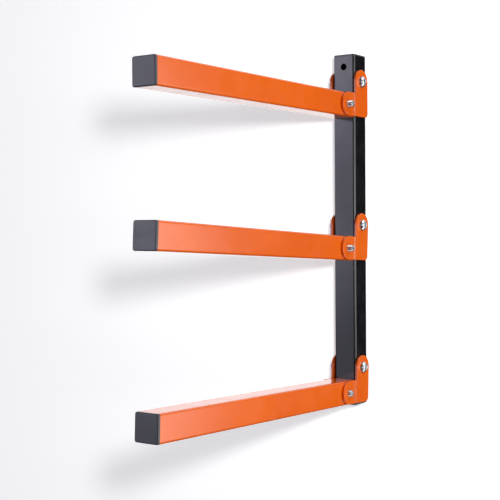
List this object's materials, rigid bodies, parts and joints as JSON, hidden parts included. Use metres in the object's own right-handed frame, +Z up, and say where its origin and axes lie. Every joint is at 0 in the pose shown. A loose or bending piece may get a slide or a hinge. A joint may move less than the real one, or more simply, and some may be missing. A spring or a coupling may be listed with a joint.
{
  "type": "wall-mounted storage rack",
  "caption": "Wall-mounted storage rack: a square-tube upright screwed to the wall, carrying folding square-tube arms on bent steel L brackets.",
  "frame": {"origin": "on the wall plane, at the back face of the upright, half way between the two wall-screw holes", "axes": "+Z up along the upright, +Y into the wall, the arms point along -Y, +X to the right seen from the front"},
  "size_m": [0.0508, 0.4119, 0.441],
  "materials": {
    "orange_powder_coat": "semi-gloss powder coat, fine orange peel",
    "charcoal_powder_coat": "satin powder coat",
    "black_plastic": "fine moulded texture",
    "zinc_steel": "bright zinc plating",
    "nylon": "natural nylon"
  },
  "bodies": {
    "upright": {"upright_tube": "charcoal_powder_coat", "upright_cap_top": "black_plastic", "upright_cap_bottom": "black_plastic", "top_pivot_sleeve": "zinc_steel", "top_pivot_spacers": "black_plastic", "middle_pivot_sleeve": "zinc_steel", "middle_pivot_spacers": "black_plastic", "bottom_pivot_sleeve": "zinc_steel", "bottom_pivot_spacers": "black_plastic"},
    "top_arm": {"top_arm_tube": "orange_powder_coat", "top_arm_end_cap": "black_plastic", "top_bracket_left": "orange_powder_coat", "top_bracket_right": "orange_powder_coat", "top_pivot_bolt": "zinc_steel", "top_pivot_washer": "zinc_steel", "top_pivot_nut": "zinc_steel", "top_pivot_nut_insert": "nylon", "top_arm_bolt": "zinc_steel"},
    "middle_arm": {"middle_arm_tube": "orange_powder_coat", "middle_arm_end_cap": "black_plastic", "middle_bracket_left": "orange_powder_coat", "middle_bracket_right": "orange_powder_coat", "middle_pivot_bolt": "zinc_steel", "middle_pivot_washer": "zinc_steel", "middle_pivot_nut": "zinc_steel", "middle_pivot_nut_insert": "nylon", "middle_arm_bolt": "zinc_steel"},
    "bottom_arm": {"bottom_arm_tube": "orange_powder_coat", "bottom_arm_end_cap": "black_plastic", "bottom_bracket_left": "orange_powder_coat", "bottom_bracket_right": "orange_powder_coat", "bottom_pivot_bolt": "zinc_steel", "bottom_pivot_washer": "zinc_steel", "bottom_pivot_nut": "zinc_steel", "bottom_pivot_nut_insert": "nylon", "bottom_arm_bolt": "zinc_steel"}
  },
  "joints": [
    {"name": "top_arm_fold", "type": "hinge", "parent": "upright", "child": "top_arm", "pos_m": [0, -0.0175, 0.186], "axis": [-1, 0, 0], "range_deg": [0, 90]},
    {"name": "middle_arm_fold", "type": "hinge", "parent": "upright", "child": "middle_arm", "pos_m": [0, -0.0175, 0.006], "axis": [-1, 0, 0], "range_deg": [0, 75]},
    {"name": "bottom_arm_fold", "type": "hinge", "parent": "upright", "child": "bottom_arm", "pos_m": [0, -0.0175, -0.1735], "axis": [-1, 0, 0], "range_deg": [0, 70]}
  ],
  "couplings": [
    {"joint": "middle_arm_fold", "follows": "top_arm_fold", "ratio": 0.83333},
    {"joint": "bottom_arm_fold", "follows": "top_arm_fold", "ratio": 0.77778}
  ]
}
